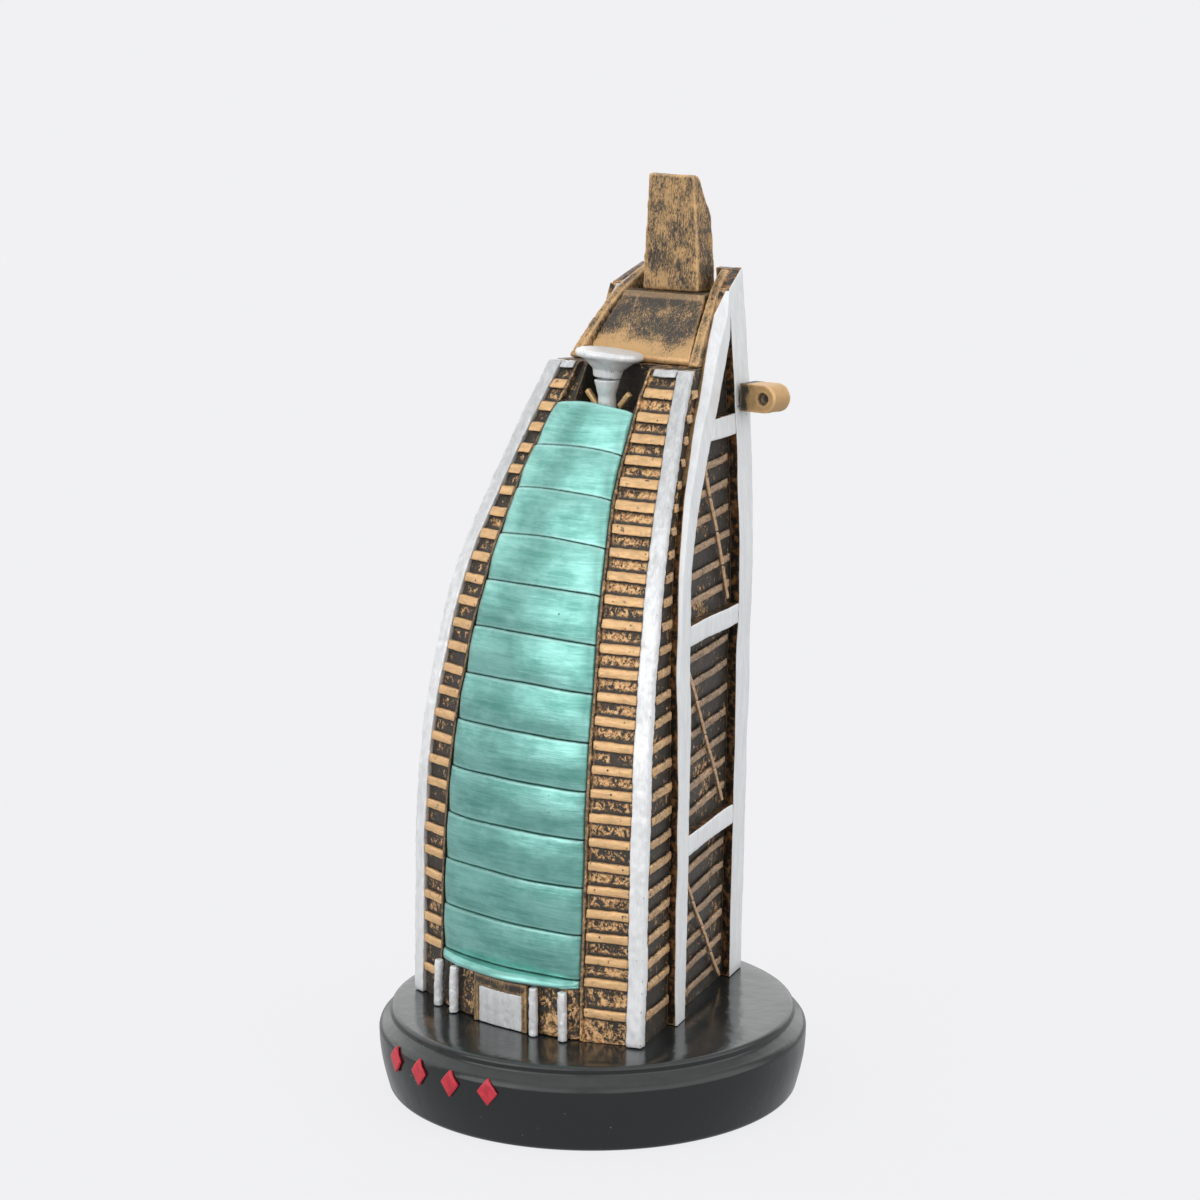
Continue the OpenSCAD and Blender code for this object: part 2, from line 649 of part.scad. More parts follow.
module lug(s) {
    r = lug_h / 2;
    color(BRONZE) difference() {
        sided(s) translate([0, lug_y + lug_d / 2, lug_z]) rotate([90, 0, 0]) difference() {
            linear_extrude(lug_d) union() {
                translate([lug_x, -r]) square([lug_l - r, lug_h]);
                translate([lug_x + lug_l - r, 0]) circle(r);
            }
            translate([lug_x + lug_l - r, 0, lug_d - dimple_depth]) cylinder(d = dimple_d, h = 2);
        }
        bar_hole(fit);
    }
}

// ---- helipad ----
neck_z = pad_h - dish_h;                  // crease between stem and dish
dish_lift = 0.3;
dish_peg_depth = 1.5;
rim_round = 0.6;
lean_turn = 39;                           // the way the helipad leans, from +X

module lean_over() {
    rotate([0, 0, lean_turn]) rotate([0, pad_lean, 0]) rotate([0, 0, -lean_turn]) children();
}

module helipad_dish() {
    r = pad_d / 2;
    color(SILVER) helipad_axis(neck_z + dish_lift) lean_over() difference() {
        rotate_extrude($fn = 90) polygon(concat(
            [[0, 0], [stem_d * 0.72, 0], [stem_d * 0.78, dish_h * 0.3], [r * 0.72, dish_h * 0.62]],
            arc(r - rim_round, dish_h - rim_round, rim_round, -60, 90), [[0, dish_h]]));
        translate([0, 0, -1]) cylinder(d = stem_peg_d + 2 * fit, h = 1 + dish_peg_depth + fit);
    }
}

module helipad_stem() {
    color(SILVER) helipad_axis() {
        translate([0, 0, -stem_peg_depth]) cylinder(d = stem_peg_d, h = 2 * stem_peg_depth);
        translate([0, 0, seat]) rotate_extrude()
            polygon([[0, 0], [stem_d / 2, 0], [stem_d / 2 - 0.1, neck_z * 0.45],
                     [stem_d * 0.68, neck_z - seat], [0, neck_z - seat]]);
        translate([0, 0, neck_z]) lean_over()
            translate([0, 0, -0.5]) cylinder(d = stem_peg_d, h = 0.5 + dish_lift + dish_peg_depth - 2 * seat);
    }
}

module helipad_struts() {
    w = 0.9;
    l = 3;
    spread = 42;
    color(BRONZE) helipad_axis() for (s = [-1, 1])
        translate([s * (stem_d / 2 + 0.35), 0.3, 0]) rotate([0, s * spread, 0])
            translate([-w / 2, -w / 2, 0.8]) cube([w, w, l]);
}

plinth();
plinth_felt();
plinth_lozenges();
tower_core();
roof_slope();
side_plate(-1);  // side_plate_left
side_plate(1);  // side_plate_right
facade_panel(-1);  // facade_panel_left
facade_panel(1);  // facade_panel_right
facade_ribs(-1);  // facade_ribs_left
facade_ribs(1);  // facade_ribs_right
corner_strip(-1);  // corner_strip_left
corner_strip(1);  // corner_strip_right
top_strip(-1);  // top_strip_left
top_strip(1);  // top_strip_right
atrium_band(0);  // atrium_band_01
atrium_band(1);  // atrium_band_02
atrium_band(2);  // atrium_band_03
atrium_band(3);  // atrium_band_04
atrium_band(4);  // atrium_band_05
atrium_band(5);  // atrium_band_06
atrium_band(6);  // atrium_band_07
atrium_band(7);  // atrium_band_08
atrium_band(8);  // atrium_band_09
atrium_band(9);  // atrium_band_10
atrium_band(10);  // atrium_band_11
atrium_band(11);  // atrium_band_12
atrium_sill();
entrance_wall();
door_frame();
door();
entrance_pillars();
side_ribs(-1);  // side_ribs_left
side_ribs(1);  // side_ribs_right
front_leg(-1);  // front_leg_left
front_leg(1);  // front_leg_right
back_leg(-1);  // back_leg_left
back_leg(1);  // back_leg_right
cross_beams(-1);  // cross_beams_left
cross_beams(1);  // cross_beams_right
bay_bars(-1);  // bay_bars_left
bay_bars(1);  // bay_bars_right
bay_braces(-1);  // bay_braces_left
bay_braces(1);  // bay_braces_right
back_panel();
back_ribs();
mast_block();
cross_bar();
lug(-1);  // lug_left
lug(1);  // lug_right
helipad_dish();
helipad_stem();
helipad_struts();
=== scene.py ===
"""Souvenir tower: the painted surfaces, studio and camera for a cast-resin tower on a round plinth.

Lengths are metres. Each operator makes one piece, or one group of like pieces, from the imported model.
"""

import math

import bmesh
import bpy
from bpy.props import FloatProperty, FloatVectorProperty, PointerProperty
from bpy.types import Operator, Panel, PropertyGroup
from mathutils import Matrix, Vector, kdtree, noise
from mathutils.bvhtree import BVHTree


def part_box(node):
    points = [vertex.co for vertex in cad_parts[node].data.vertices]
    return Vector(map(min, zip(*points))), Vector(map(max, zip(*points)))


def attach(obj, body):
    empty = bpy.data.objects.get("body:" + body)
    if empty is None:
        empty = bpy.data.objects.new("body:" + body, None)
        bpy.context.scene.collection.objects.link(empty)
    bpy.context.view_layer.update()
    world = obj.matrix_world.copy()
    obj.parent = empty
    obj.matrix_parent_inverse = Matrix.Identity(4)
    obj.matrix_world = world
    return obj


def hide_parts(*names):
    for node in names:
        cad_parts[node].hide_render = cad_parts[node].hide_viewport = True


bl_info = {
    "name": "Souvenir tower",
    "version": (1, 0, 0),
    "blender": (4, 5, 0),
    "location": "View3D > Sidebar > Tower",
    "description": "Paints and stages a cast-resin souvenir tower on a round plinth",
    "category": "Object",
}

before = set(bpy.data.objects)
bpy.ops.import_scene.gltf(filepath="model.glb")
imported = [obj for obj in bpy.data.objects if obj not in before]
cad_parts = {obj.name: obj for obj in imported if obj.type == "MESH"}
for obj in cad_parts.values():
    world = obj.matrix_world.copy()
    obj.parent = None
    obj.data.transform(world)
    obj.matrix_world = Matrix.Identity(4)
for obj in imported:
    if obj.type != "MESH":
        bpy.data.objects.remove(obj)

MM = 0.001
BODY = "root"
PAINTED = "painted_"
SIDES = ("left", "right")
WELD = 0.002 * MM                        # points closer than this are one point
SHARP = math.radians(24)                 # an edge that bends more than this is a made edge
BANDS = sorted(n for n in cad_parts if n.startswith("atrium_band_"))
PLINTH_LOW, PLINTH_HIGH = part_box("plinth")
DECK = PLINTH_HIGH.z                     # the plinth's top face, where the tower stands


# ---------------------------------------------------------------- sizes and colours

def length(name, description, default, **more):
    """A size in metres for the sidebar."""
    return FloatProperty(name=name, description=description, default=default, unit="LENGTH",
                         precision=5, min=0, **more)


def colour(name, description, red, green, blue):
    """A paint colour for the sidebar."""
    return FloatVectorProperty(name=name, description=description, default=(red, green, blue),
                               subtype="COLOR", size=3, min=0, max=1)


class TowerCasting(PropertyGroup):
    """How soft and how uneven the resin casting is."""

    rounding: length("Rounding", "Radius of the cast edges", 0.22 * MM)
    cell: length("Cell", "Size of the mesh cells on the cast surfaces", 0.5 * MM)
    sway: length("Sway", "How far the hand-made mould is out of true", 0.20 * MM)
    sway_length: length("Sway length", "Distance over which the mould sways", 9 * MM)
    grain: length("Grain", "Height of the small lumps on a cast surface", 0.05 * MM)
    grain_length: length("Grain length", "Distance between the small lumps", 1.1 * MM)
    plinth_wave: length("Plinth wave", "Unevenness of the plinth's lacquered wall", 0.05 * MM)


class TowerPaints(PropertyGroup):
    """The paint pots."""

    black: colour("Black", "Lacquer of the plinth", 0.008, 0.0110, 0.0110)
    felt: colour("Felt", "Pad under the plinth", 0.012, 0.013, 0.012)
    red: colour("Red", "Enamel of the raised motifs", 0.68, 0.035, 0.060)
    dark: colour("Dark bronze", "Wash in the recesses", 0.020, 0.017, 0.013)
    bronze: colour("Bronze", "Brushed bronze of the roof, mast and lugs", 0.60, 0.375, 0.170)
    gold: colour("Gold", "Gold-bronze on the ribs", 0.86, 0.54, 0.265)
    rust: colour("Rust", "Thin bronze on the frames' inner walls", 0.32, 0.155, 0.060)
    silver: colour("Silver", "Strips, door, pillars and helipad", 0.90, 0.91, 0.92)
    white: colour("White", "Pearl white of the side frames", 0.84, 0.86, 0.875)
    teal_dark: colour("Teal, dark", "Shade between the brush strokes", 0.110, 0.340, 0.290)
    teal: colour("Teal", "Metallic paint of the glazed bands", 0.34, 0.70, 0.640)
    # The light teal is a painted highlight along the bands' edges, where their ledges catch the light.
    teal_highlight: colour("Teal, light", "Rubbed edges of the glazed bands", 0.52, 0.86, 0.80)


class TowerStudio(PropertyGroup):
    """Camera, floor and light."""

    lens: FloatProperty(name="Lens", description="Focal length", default=90, unit="CAMERA", min=1)
    azimuth: FloatProperty(name="Azimuth", description="Turn of the camera from the front to the right",
                           default=math.radians(38.93), subtype="ANGLE")
    pitch: FloatProperty(name="Pitch", description="Tilt of the camera, downwards",
                         default=math.radians(10.98), subtype="ANGLE")
    distance: length("Distance", "From the camera to the point that it aims at", 480 * MM)
    aim: FloatVectorProperty(name="Aim", description="Point that the camera aims at",
                             default=(0.9 * MM, 0.8 * MM, 80.3 * MM), subtype="TRANSLATION", unit="LENGTH")
    floor_size: length("Floor", "Half width of the pale floor", 30.0)
    backdrop: colour("Backdrop", "What the camera sees past the floor", 0.875, 0.875, 0.890)
    fill: FloatProperty(name="Fill", description="Even light from all round", default=0.48, min=0)
    floor_glow: FloatProperty(name="Floor glow", description="How much the floor glows of itself", default=0.922,
                              min=0)


def settings():
    """The three property groups of the scene."""
    scene = bpy.context.scene
    return scene.tower_casting, scene.tower_paints, scene.tower_studio


# ---------------------------------------------------------------- mesh tools

def lerp(a, b, share):
    return a + (b - a) * share


def smoothstep(low, high, value):
    share = min(1.0, max(0.0, (value - low) / (high - low)))
    return share * share * (3 - 2 * share)


def welded(node):
    """A CAD node's mesh as one closed surface, its triangles paired into quads where they lie flat."""
    bm = bmesh.new()
    bm.from_mesh(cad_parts[node].data)
    bmesh.ops.remove_doubles(bm, verts=bm.verts, dist=WELD)
    bmesh.ops.dissolve_degenerate(bm, edges=bm.edges, dist=WELD)
    bmesh.ops.join_triangles(bm, faces=bm.faces, angle_face_threshold=math.radians(12),
                             angle_shape_threshold=math.radians(60))
    bmesh.ops.recalc_face_normals(bm, faces=bm.faces)
    bm.normal_update()
    return bm


def made_edges(bm, sharp=SHARP):
    return [e for e in bm.edges if len(e.link_faces) == 2 and e.calc_face_angle() > sharp]


def edge_finder(bm, sharp=SHARP, spacing=0.25 * MM):
    """A tree of points along the made edges, to tell how far a point is from the nearest one."""
    spots = []
    for e in made_edges(bm, sharp):
        a, b = e.verts[0].co, e.verts[1].co
        count = max(1, round((b - a).length / spacing))
        spots += [a.lerp(b, i / count) for i in range(count + 1)]
    tree = kdtree.KDTree(len(spots))
    for i, spot in enumerate(spots):
        tree.insert(spot, i)
    tree.balance()
    return tree


def bevelled(bm, rounding, steps=2):
    bmesh.ops.bevel(bm, geom=made_edges(bm), offset=rounding, offset_type="OFFSET", segments=steps,
                    profile=0.5, affect="EDGES", clamp_overlap=True)
    return bm


def divided(bm, cell):
    """Cuts every edge longer than about a cell in two, until none is left."""
    for _ in range(10):
        long = [e for e in bm.edges if e.calc_length() > 1.45 * cell]
        if not long:
            break
        bmesh.ops.subdivide_edges(bm, edges=long, cuts=1, use_grid_fill=True)
    return bm


def through_modifiers(bm, *modifiers):
    """The mesh after some modifiers, each given as its type and its settings."""
    mesh = bpy.data.meshes.new("work")
    bm.to_mesh(mesh)
    bm.free()
    work = bpy.data.objects.new("work", mesh)
    bpy.context.scene.collection.objects.link(work)
    for kind, values in modifiers:
        modifier = work.modifiers.new(kind, kind)
        for key, value in values.items():
            setattr(modifier, key, value)
    result = bmesh.new()
    result.from_mesh(work.evaluated_get(bpy.context.evaluated_depsgraph_get()).to_mesh())
    bpy.data.objects.remove(work)
    bpy.data.meshes.remove(mesh)
    return result


def moulded(bm, voxel, smoothing):
    """Even cells all over, with soft corners, for blocks whose faces have many sides."""
    return through_modifiers(bm, ("REMESH", {"mode": "VOXEL", "voxel_size": voxel}),
                             ("SMOOTH", {"factor": 0.5, "iterations": smoothing}))


def subdivided(bm, levels):
    return through_modifiers(bm, ("SUBSURF", {"levels": levels}))


def lathe(outline, steps, centre=Vector((0, 0, 0))):
    """A closed solid of revolution about +Z. The outline runs from the axis to the axis, upwards."""
    bm = bmesh.new()
    rings = []
    for radius, height in outline:
        if radius == 0:
            rings.append([bm.verts.new(centre + Vector((0, 0, height)))])
            continue
        turns = (2 * math.pi * i / steps for i in range(steps))
        rings.append([bm.verts.new(centre + Vector((radius * math.cos(t), radius * math.sin(t), height)))
                      for t in turns])
    for low, high in zip(rings, rings[1:]):
        for i in range(steps):
            j = (i + 1) % steps
            corners = [low[i % len(low)], low[j % len(low)], high[j % len(high)], high[i % len(high)]]
            bm.faces.new(list(dict.fromkeys(corners)))
    bmesh.ops.recalc_face_normals(bm, faces=bm.faces)
    return bm


def arc(radius, height, bend, start, end, steps=6):
    """Points of an outline round a corner, from one angle to another in degrees."""
    angles = (math.radians(lerp(start, end, i / steps)) for i in range(steps + 1))
    return [(radius + bend * math.cos(a), height + bend * math.sin(a)) for a in angles]


# ---------------------------------------------------------------- casting and painting

def sway(point, casting):
    """How far the mould is out of true at a point. Pieces share it, so they stay seated on each other."""
    grip = smoothstep(DECK, DECK + 5 * MM, point.z)
    shift = noise.noise_vector(point / casting.sway_length) * casting.sway
    return Vector((shift.x, shift.y, shift.z * grip))


def lumps(point, casting, scale=1.0, seed=0.0):
    """Height of the small lumps at a point."""
    spot = point / (casting.grain_length * scale) + Vector((seed, 2.7 * seed, 4.1 * seed))
    return (noise.noise(spot) + 0.5 * noise.noise(spot * 2.3)) * casting.grain


def surface_finder(nodes):
    """A search tree over the surfaces of some CAD nodes."""
    bm = bmesh.new()
    for node in nodes:
        bm.from_mesh(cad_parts[node].data)
    tree = BVHTree.FromBMesh(bm)
    bm.free()
    return tree


CORE_SURFACE = surface_finder(["tower_core"])


def note(bm, name, measure):
    """Keeps a number for each point of the mesh, for the paints to read."""
    layer = bm.verts.layers.float.new(name)
    for v in bm.verts:
        v[layer] = measure(v.co)


def away(tree):
    """Measures how far a point is from a tree's surface, in millimetres, up to 9."""
    return lambda point: min(9.0, tree.find_nearest(point)[3] / MM)


def cast(bm, edges, casting, grain=1.0, seed=0.0, swaying=True, gilding=0.6, shelter=()):
    """Gives a dense mesh the unevenness of a casting, and notes for the paints: how far each point is
    from a made edge, from the core and from the nodes beside which the paint keeps a dark border of painted
    shade, and how much gold the brush left, which also carries painted shade on the silver strips and the lugs."""
    bm.normal_update()
    note(bm, "edge_mm", lambda point: min(9.0, edges.find(point)[2] / MM))
    note(bm, "proud_mm", away(CORE_SURFACE))
    note(bm, "shelter_mm", away(surface_finder(shelter)) if shelter else lambda point: 9.0)
    note(bm, "gilding", gilding if callable(gilding) else lambda point: gilding)
    moves = []
    for v in bm.verts:
        move = v.normal * lumps(v.co, casting, 1.0, seed) * grain
        if swaying:
            move += sway(v.co, casting)
        moves.append(move)
    for v, move in zip(bm.verts, moves):
        v.co += move
    return bm


def finished(node, bm, paint_name, stands_for=None):
    """Makes the visible piece for a CAD node: its mesh, its paint and its place in the frame."""
    mesh = bpy.data.meshes.new(node + "_painted")
    bm.to_mesh(mesh)
    bm.free()
    if "custom_normal" in mesh.attributes:
        mesh.attributes.remove(mesh.attributes["custom_normal"])
    mesh.shade_smooth()
    mesh.materials.clear()
    mesh.materials.append(paint(paint_name))
    piece = bpy.data.objects.new(mesh.name, mesh)
    bpy.context.scene.collection.objects.link(piece)
    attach(piece, BODY)
    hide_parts(*(stands_for or [node]))
    return piece


def cast_strip(node, paint_name, cell=1.0, rounding=1.0, **more):
    """A piece with long even faces: rounded edges, even cells, then the casting's unevenness."""
    casting = settings()[0]
    bm = welded(node)
    edges = edge_finder(bm)
    bevelled(bm, casting.rounding * rounding)
    divided(bm, casting.cell * cell)
    return finished(node, cast(bm, edges, casting, **more), paint_name)


def cast_block(node, paint_name, voxel=0.25, smoothing=3, **more):
    """A piece with many-sided faces: remeshed all over, in millimetres, then the casting's unevenness."""
    casting = settings()[0]
    bm = welded(node)
    edges = edge_finder(bm)
    bm = moulded(bm, voxel * MM, smoothing)
    return finished(node, cast(bm, edges, casting, **more), paint_name)


# ---------------------------------------------------------------- shader tools

class Graph:
    """Short words for building a node tree."""

    def __init__(self, tree):
        self.tree = tree

    def node(self, kind, inputs=None, **values):
        made = self.tree.nodes.new(kind)
        for key, value in values.items():
            setattr(made, key, value)
        for key, value in (inputs or {}).items():
            self.feed(made.inputs[key], value)
        return made

    def feed(self, socket, value):
        if isinstance(value, bpy.types.NodeSocket):
            self.tree.links.new(value, socket)
        else:
            socket.default_value = value

    def maths(self, operation, *values, clamp=False):
        made = self.node("ShaderNodeMath", operation=operation, use_clamp=clamp)
        for socket, value in zip(made.inputs, values):
            self.feed(socket, value)
        return made.outputs[0]

    def vector(self, operation, *values):
        made = self.node("ShaderNodeVectorMath", operation=operation)
        for socket, value in zip(made.inputs, values):
            self.feed(socket, value)
        return made.outputs["Value" if operation == "DOT_PRODUCT" else "Vector"]

    def step(self, value, low, high, start=0.0, end=1.0):
        """A smooth step of the value between low and high."""
        made = self.node("ShaderNodeMapRange", interpolation_type="SMOOTHSTEP")
        fed = {"Value": value, "From Min": low, "From Max": high, "To Min": start, "To Max": end}
        for key, given in fed.items():
            self.feed(made.inputs[key], given)
        return made.outputs[0]

    def mixed(self, share, a, b, blend="MIX"):
        """Colour a where the share is 0, and b where it is 1."""
        made = self.node("ShaderNodeMix", data_type="RGBA", blend_type=blend)
        for socket, value in zip((made.inputs[0], made.inputs[6], made.inputs[7]), (share, a, b)):
            self.feed(socket, value)
        return made.outputs[2]

    def clouds(self, place, scale, detail=2.0, roughness=0.55, twist=0.0):
        """Soft noise from 0 to 1."""
        made = self.node("ShaderNodeTexNoise", {"Vector": place, "Scale": scale, "Detail": detail,
                                                "Roughness": roughness, "Distortion": twist})
        return made.outputs[0]

    def attribute(self, name):
        return self.node("ShaderNodeAttribute", attribute_name=name).outputs["Fac"]

    def millimetres(self):
        """The object's own coordinates, in millimetres."""
        place = self.node("ShaderNodeTexCoord").outputs["Object"]
        return self.vector("MULTIPLY", place, (1000, 1000, 1000))


def effect(name, inputs, outputs, build):
    """A shader node group, built once. Inputs are (name, kind, default), outputs are (name, kind)."""
    if name in bpy.data.node_groups:
        return bpy.data.node_groups[name]
    group = bpy.data.node_groups.new(name, "ShaderNodeTree")
    for label, kind, default in inputs:
        socket = group.interface.new_socket(label, in_out="INPUT", socket_type="NodeSocket" + kind)
        socket.default_value = default
    for label, kind in outputs:
        group.interface.new_socket(label, in_out="OUTPUT", socket_type="NodeSocket" + kind)
    g = Graph(group)
    given = g.node("NodeGroupInput").outputs
    wanted = build(g, given)
    g.node("NodeGroupOutput", wanted)
    return group


def brush_strokes():
    """Streaks left by a brush: Grain is strokes to the millimetre along X, Y and Z."""
    def build(g, given):
        place = g.vector("MULTIPLY", g.millimetres(), given["Grain"])
        coarse = g.clouds(place, 1.0, 3.0, 0.6, given["Twist"])
        fine = g.clouds(place, 3.7, 2.0, 0.6, given["Twist"])
        both = g.maths("ADD", g.maths("MULTIPLY", coarse, 0.65), g.maths("MULTIPLY", fine, 0.35))
        return {"Stroke": g.step(both, 0.34, 0.66), "Height": both}
    return effect("brush strokes", [("Grain", "Vector", (1, 1, 1)), ("Twist", "Float", 0.0)],
                  [("Stroke", "Float"), ("Height", "Float")], build)


def casting_pits():
    """Small round pits that air bubbles leave: Spacing is in millimetres, Size is a share of it."""
    def build(g, given):
        place = g.vector("DIVIDE", g.millimetres(), given["Spacing"])
        cells = g.node("ShaderNodeTexVoronoi", {"Vector": place, "Scale": 1.0, "Randomness": 1.0})
        chance = g.node("ShaderNodeSeparateColor", {"Color": cells.outputs["Color"]}).outputs[0]
        reach = g.maths("MULTIPLY", given["Size"], g.step(chance, given["Rarity"], 1.0))
        pit = g.step(cells.outputs["Distance"], g.maths("MULTIPLY", reach, 0.55), reach, 1.0, 0.0)
        return {"Pit": g.maths("MULTIPLY", pit, g.step(chance, given["Rarity"], 1.0))}
    return effect("casting pits", [("Spacing", "Vector", (2, 2, 2)), ("Size", "Float", 0.2),
                                   ("Rarity", "Float", 0.5)], [("Pit", "Float")], build)


def dry_brush():
    """Where a nearly dry brush leaves paint: on what stands off the core, and in smears on the floors
    between, except for a dark border next to the parts around them: painted shade, and also where the brush
    doesn't reach."""
    def build(g, given):
        place = g.millimetres()
        ragged = g.maths("SUBTRACT", g.clouds(place, 2.2, 3.0, 0.65), 0.5)
        lift = g.maths("ADD", g.attribute("proud_mm"), g.maths("MULTIPLY", ragged, given["Ragged"]))
        tops = g.step(lift, given["Low"], given["High"])
        smear = g.clouds(g.vector("DIVIDE", place, given["Smear"]), 1.0, 7.0, 0.78, 0.6)
        patch = g.maths("MULTIPLY", g.maths("SUBTRACT", g.clouds(place, 0.13, 2.0), 0.5), 0.34)
        gate = g.maths("SUBTRACT", 0.665, g.maths("MULTIPLY", g.attribute("gilding"), 0.235))
        gate = g.maths("SUBTRACT", gate, patch)
        smears = g.step(smear, gate, g.maths("ADD", gate, 0.045))
        # Painted shade: the smears stop short of the parts around, leaving a dark border beside them.
        out_of_shade = g.maths("ADD", g.attribute("shelter_mm"), g.maths("MULTIPLY", ragged, 0.9))
        smears = g.maths("MULTIPLY", smears, g.step(out_of_shade, 0.30, 0.75))
        return {"Paint": g.maths("MAXIMUM", tops, smears), "Smears": smears}
    return effect("dry brush", [("Low", "Float", 0.6), ("High", "Float", 1.0), ("Ragged", "Float", 0.4),
                                ("Smear", "Vector", (0.9, 0.9, 1.3))],
                  [("Paint", "Float"), ("Smears", "Float")], build)


def edge_wear_and_shading():
    """Where handling rubs the paint off the made edges; the teal bands also use this mask for a painted highlight
    and for painted shade along their edges. Width and Ragged are in millimetres.
    """
    def build(g, given):
        place = g.millimetres()
        ragged = g.maths("SUBTRACT", g.clouds(place, 1.3, 4.0, 0.7), 0.5)
        away = g.maths("ADD", g.attribute("edge_mm"), g.maths("MULTIPLY", ragged, given["Ragged"]))
        return {"Wear": g.step(away, 0.0, given["Width"], 1.0, 0.0)}
    return effect("edge wear", [("Width", "Float", 0.3), ("Ragged", "Float", 0.8)],
                  [("Wear", "Float")], build)


def settled_dust():
    """Pale specks, and a thin film on what faces up."""
    def build(g, given):
        place = g.millimetres()
        normal = g.node("ShaderNodeNewGeometry").outputs["Normal"]
        up = g.step(g.node("ShaderNodeSeparateXYZ", {"Vector": normal}).outputs["Z"], 0.2, 1.0)
        cells = g.node("ShaderNodeTexVoronoi", {"Vector": place, "Scale": 0.45, "Randomness": 1.0})
        chance = g.node("ShaderNodeSeparateColor", {"Color": cells.outputs["Color"]}).outputs[1]
        speck = g.step(cells.outputs["Distance"], 0.03, 0.06, 1.0, 0.0)
        specks = g.maths("MULTIPLY", speck, g.step(chance, 0.55, 0.8))
        film = g.maths("MULTIPLY", g.maths("MULTIPLY", up, g.clouds(place, 0.35, 3.0)), given["Film"])
        return {"Dust": g.maths("MAXIMUM", film, g.maths("MULTIPLY", specks, given["Specks"]))}
    return effect("settled dust", [("Film", "Float", 0.1), ("Specks", "Float", 0.5)],
                  [("Dust", "Float")], build)


# ---------------------------------------------------------------- paints

def solid(rgb):
    return (*rgb, 1.0)


def coat(name, **plain):
    """A new material with its Principled shader. The plain values go on the shader's own sockets."""
    material = bpy.data.materials.new(PAINTED + name)
    material.use_nodes = True
    shader = material.node_tree.nodes["Principled BSDF"]
    for key, value in plain.items():
        shader.inputs[key.replace("_", " ")].default_value = value
    return material, Graph(material.node_tree), shader


def bumped(g, shader, height, depth):
    """Feeds a height from 0 to 1, depth metres deep, to the shader's normal."""
    bump = g.node("ShaderNodeBump", {"Strength": 1.0, "Distance": depth, "Height": height})
    g.feed(shader.inputs["Normal"], bump.outputs["Normal"])


def use(g, group, **inputs):
    """Places an effect group in a material, with this material's own values."""
    return g.node("ShaderNodeGroup", inputs, node_tree=group).outputs


def black_lacquer(paints):
    material, g, shader = coat("black_lacquer", Specular_IOR_Level=0.62)
    dust = use(g, settled_dust(), Film=0.05, Specks=0.5)["Dust"]
    pit = use(g, casting_pits(), Spacing=(5, 5, 5), Size=0.05, Rarity=0.55)["Pit"]
    place = g.millimetres()
    cloud = g.clouds(place, 0.12, 4.0, 0.6)
    g.feed(shader.inputs["Base Color"], g.mixed(dust, solid(paints.black), (0.42, 0.43, 0.44, 1)))
    gloss = g.step(cloud, 0.3, 0.7, 0.13, 0.22)
    g.feed(shader.inputs["Roughness"], g.maths("ADD", gloss, g.maths("MULTIPLY", dust, 0.4)))
    ripple = g.maths("ADD", g.clouds(place, 0.35, 2.0), g.maths("MULTIPLY", g.clouds(place, 3.0, 2.0), 0.06))
    bumped(g, shader, g.maths("SUBTRACT", ripple, g.maths("MULTIPLY", pit, 1.2)), 0.07 * MM)
    return material


def base_felt(paints):
    material, g, shader = coat("base_felt", Roughness=0.95, Specular_IOR_Level=0.2, Sheen_Weight=0.4)
    place = g.millimetres()
    fibres = g.clouds(g.vector("MULTIPLY", place, (3.0, 1.0, 1.0)), 3.0, 4.0, 0.75)
    g.feed(shader.inputs["Base Color"], g.mixed(fibres, solid(paints.felt), (0.05, 0.052, 0.05, 1)))
    bumped(g, shader, fibres, 0.15 * MM)
    return material


def red_enamel(paints):
    material, g, shader = coat("red_enamel", Coat_Roughness=0.12)
    wear_and_highlight = use(g, edge_wear_and_shading(), Width=0.16, Ragged=0.3)["Wear"]
    strokes = use(g, brush_strokes(), Grain=(0.8, 0.8, 0.5))
    dark = solid([c * 0.62 for c in paints.red])
    tone = g.mixed(strokes["Stroke"], dark, solid(paints.red))
    g.feed(shader.inputs["Base Color"], g.mixed(g.maths("MULTIPLY", wear_and_highlight, 0.5), tone, (0.10, 0.012, 0.016, 1)))
    g.feed(shader.inputs["Roughness"], g.step(strokes["Stroke"], 0, 1, 0.30, 0.42))
    bumped(g, shader, strokes["Height"], 0.10 * MM)
    return material


def dark_bronze(paints):
    material, g, shader = coat("dark_bronze", Specular_IOR_Level=0.45)
    brushed = use(g, dry_brush(), Low=3.0, High=3.4, Ragged=0.5, Smear=(0.95, 0.95, 1.25))
    wear_and_highlight = use(g, edge_wear_and_shading(), Width=0.25, Ragged=0.9)["Wear"]
    pit = use(g, casting_pits(), Spacing=(1.1, 1.1, 1.1), Size=0.20, Rarity=0.4)["Pit"]
    place = g.millimetres()
    shade = g.mixed(g.clouds(place, 0.9, 4.0, 0.6), solid(paints.dark), (0.060, 0.050, 0.040, 1))
    gold = g.mixed(g.step(g.clouds(place, 1.8, 4.0, 0.7), 0.36, 0.56), solid(paints.rust), solid(paints.gold))
    rubbed = g.maths("MULTIPLY", wear_and_highlight, g.maths("MULTIPLY", g.attribute("gilding"), 0.5))
    painted = g.maths("MAXIMUM", brushed["Smears"], rubbed)
    painted = g.maths("MULTIPLY", painted, g.maths("SUBTRACT", 1.0, pit))
    g.feed(shader.inputs["Base Color"], g.mixed(painted, shade, gold))
    g.feed(shader.inputs["Metallic"], g.maths("MULTIPLY", painted, 0.30))
    g.feed(shader.inputs["Roughness"], g.step(g.clouds(place, 1.2, 3.0), 0.3, 0.7, 0.40, 0.60))
    height = g.maths("ADD", g.clouds(place, 1.6, 4.0, 0.65), g.maths("MULTIPLY", brushed["Smears"], 0.30))
    bumped(g, shader, g.maths("SUBTRACT", height, pit), 0.12 * MM)
    return material


